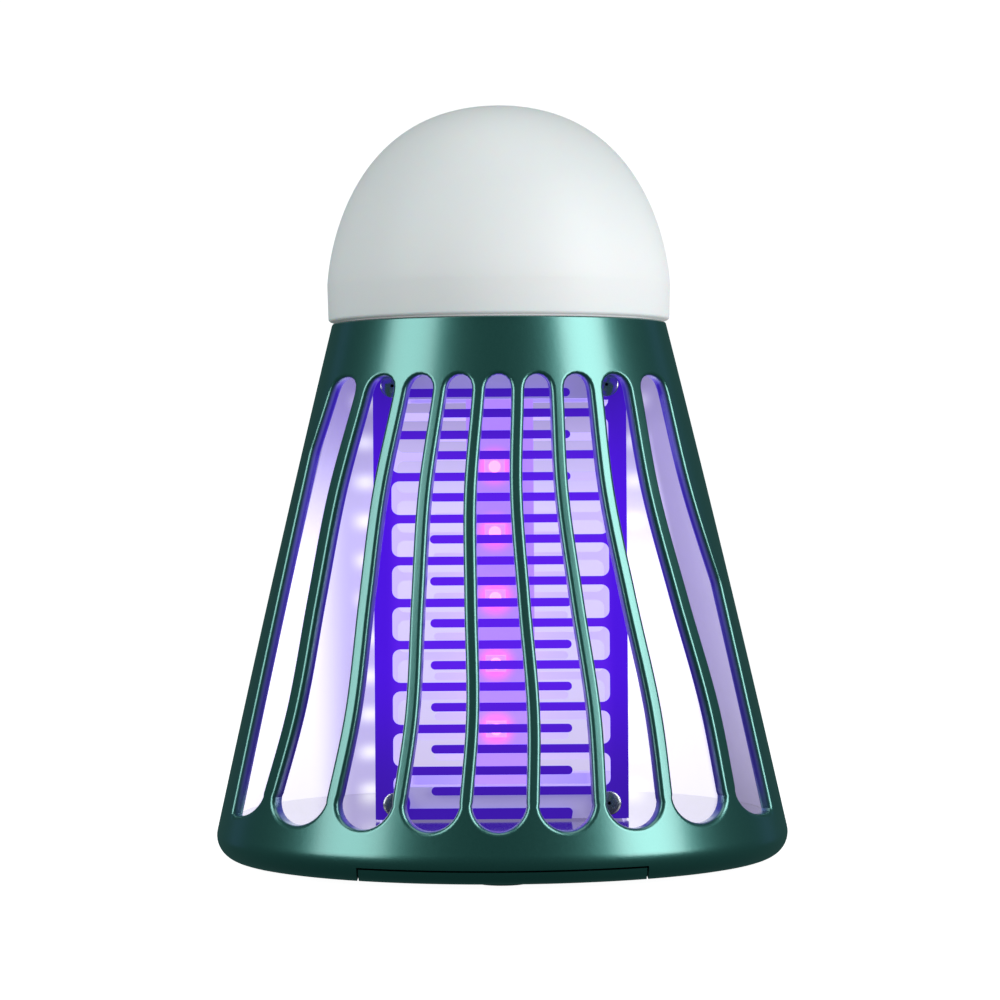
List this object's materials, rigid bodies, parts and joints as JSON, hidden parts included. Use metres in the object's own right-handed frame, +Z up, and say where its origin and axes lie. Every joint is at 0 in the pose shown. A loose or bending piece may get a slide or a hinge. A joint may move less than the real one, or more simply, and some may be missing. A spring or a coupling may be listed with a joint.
{
  "type": "electric bug zapper",
  "caption": "Rechargeable bug zapper lantern: slotted conical cage round a high-voltage comb grid and ultraviolet lamp board, opal lamp dome on top, fold-out hanging bail in the base.",
  "frame": {"origin": "centre of the base on the plane that the feet stand on", "axes": "+Z up along the cage's axis, -Y towards the front where the bail's lip shows, +X to the viewer's right"},
  "size_m": [0.0958, 0.0958, 0.1271],
  "materials": {
    "housing_green": "satin metallic paint over ABS",
    "base_green": "fine moulded grain",
    "opal_dome": "matte opal polycarbonate",
    "white_plastic": "moulded ABS",
    "reflector_white": "semi-gloss white sheet lit by the ultraviolet lamp",
    "grid_steel": "stamped plated steel in violet light",
    "screw_steel": "nickel plated",
    "white_board": "white solder mask",
    "lamp_emitter": "phosphor under clear resin",
    "uv_emitter": "clear resin, glowing violet and magenta",
    "circuit_board": "green solder mask",
    "black_plastic": "moulded ABS",
    "foil": "brushed foil",
    "rubber": "soft matte rubber"
  },
  "bodies": {
    "root": {"bail_pin_left": "screw_steel", "bail_pin_right": "screw_steel", "base_screw_1": "screw_steel", "base_screw_2": "screw_steel", "base_screw_3": "screw_steel", "base_screw_4": "screw_steel", "base_tray": "base_green", "battery": "foil", "cage": "housing_green", "chamber_floor": "black_plastic", "charge_board": "circuit_board", "comb_front_left": "grid_steel", "comb_front_right": "grid_steel", "comb_rear_left": "grid_steel", "comb_rear_right": "grid_steel", "comb_screw_front_bottom_left": "screw_steel", "comb_screw_front_bottom_right": "screw_steel", "comb_screw_front_top_left": "screw_steel", "comb_screw_front_top_right": "screw_steel", "comb_screw_rear_bottom_left": "screw_steel", "comb_screw_rear_bottom_right": "screw_steel", "comb_screw_rear_top_left": "screw_steel", "comb_screw_rear_top_right": "screw_steel", "deck": "white_plastic", "deck_screw_1": "screw_steel", "deck_screw_2": "screw_steel", "deck_screw_3": "screw_steel", "foot_1": "rubber", "foot_2": "rubber", "foot_3": "rubber", "foot_4": "rubber", "hv_board": "circuit_board", "hv_capacitor": "foil", "hv_transformer": "black_plastic", "lamp_board": "white_board", "lamp_diffuser": "opal_dome", "lamp_led_1": "lamp_emitter", "lamp_led_2": "lamp_emitter", "lamp_led_3": "lamp_emitter", "lamp_led_4": "lamp_emitter", "lamp_led_5": "lamp_emitter", "lamp_led_6": "lamp_emitter", "lamp_pedestal": "white_plastic", "lamp_switch": "foil", "lower_holder": "white_plastic", "reflector": "reflector_white", "upper_holder": "white_plastic", "usb_socket": "screw_steel", "uv_board": "white_board", "uv_led_1": "uv_emitter", "uv_led_2": "uv_emitter", "uv_led_3": "uv_emitter", "uv_led_4": "uv_emitter", "uv_led_5": "uv_emitter", "zapper_switch": "foil"},
    "bail": {"bail": "housing_green"},
    "usb_cover": {"usb_cover": "rubber"},
    "zapper_button": {"zapper_button": "rubber"},
    "lamp_button": {"lamp_button": "rubber"}
  },
  "joints": [
    {"name": "bail_hinge", "type": "hinge", "parent": "root", "child": "bail", "pos_m": [0, 0, 0.0022], "axis": [1, 0, 0], "range_deg": [0, 90]},
    {"name": "cover_hinge", "type": "hinge", "parent": "root", "child": "usb_cover", "pos_m": [0.0063, 0.0475, 0.005], "axis": [0, 0, -1], "range_deg": [0, 100]},
    {"name": "zapper_button_press", "type": "slide", "parent": "root", "child": "zapper_button", "axis": [0.4067, -0.9135, 0], "range_m": [0, 0.0008], "stiffness_N_per_m": 800},
    {"name": "lamp_button_press", "type": "slide", "parent": "root", "child": "lamp_button", "axis": [-0.4067, -0.9135, 0], "range_m": [0, 0.0008], "stiffness_N_per_m": 800}
  ]
}
